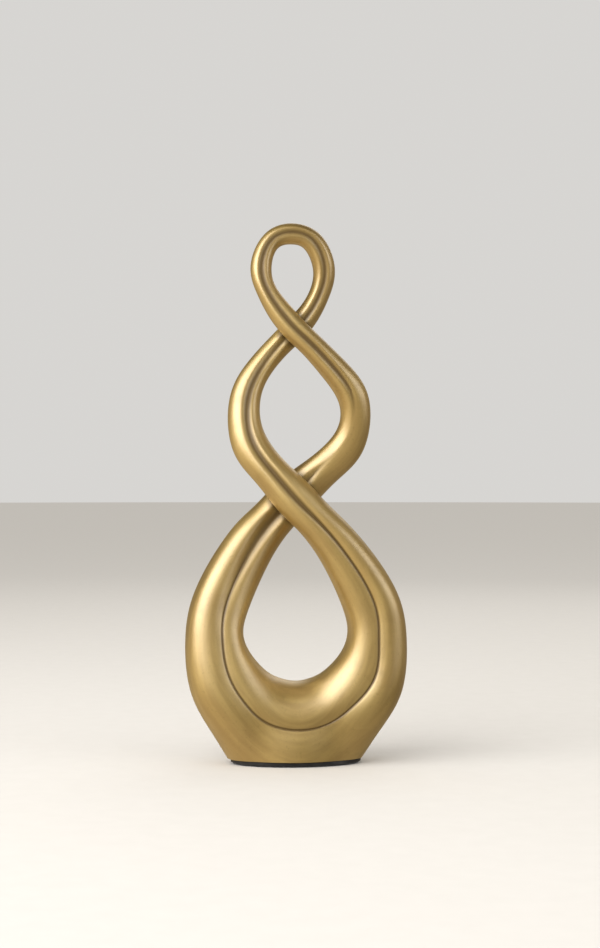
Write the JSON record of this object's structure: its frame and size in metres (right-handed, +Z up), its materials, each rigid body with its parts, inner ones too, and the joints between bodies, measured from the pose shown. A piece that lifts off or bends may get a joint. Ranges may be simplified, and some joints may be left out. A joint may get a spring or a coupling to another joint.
{
  "type": "metal knot sculpture",
  "caption": "Tall free-standing knot of one two-lobed metal band in champagne gold leaf, crossing itself twice above a large open loop, on a thin black base.",
  "frame": {"origin": "centre of the foot on the table, at the underside of the felt pad", "axes": "+Z up, +X across the knot's loops to the right as seen from the front, +Y towards the back"},
  "size_m": [0.1643, 0.056, 0.4002],
  "materials": {
    "gold_leaf": "champagne gold leaf over cast aluminium, satin, with brown patina in the creases",
    "steel": "plain turned steel",
    "black_plate": "satin black paint",
    "black_felt": "pressed felt"
  },
  "bodies": {
    "root": {"lower_loop": "gold_leaf", "left_arm": "gold_leaf", "right_arm": "gold_leaf", "top_loop": "gold_leaf", "lower_left_dowel": "steel", "lower_right_dowel": "steel", "top_left_dowel": "steel", "top_right_dowel": "steel", "middle_crossing_pin": "steel", "top_crossing_pin": "steel", "base_plate": "black_plate", "base_screws": "steel", "felt_pad": "black_felt"}
  },
  "joints": []
}
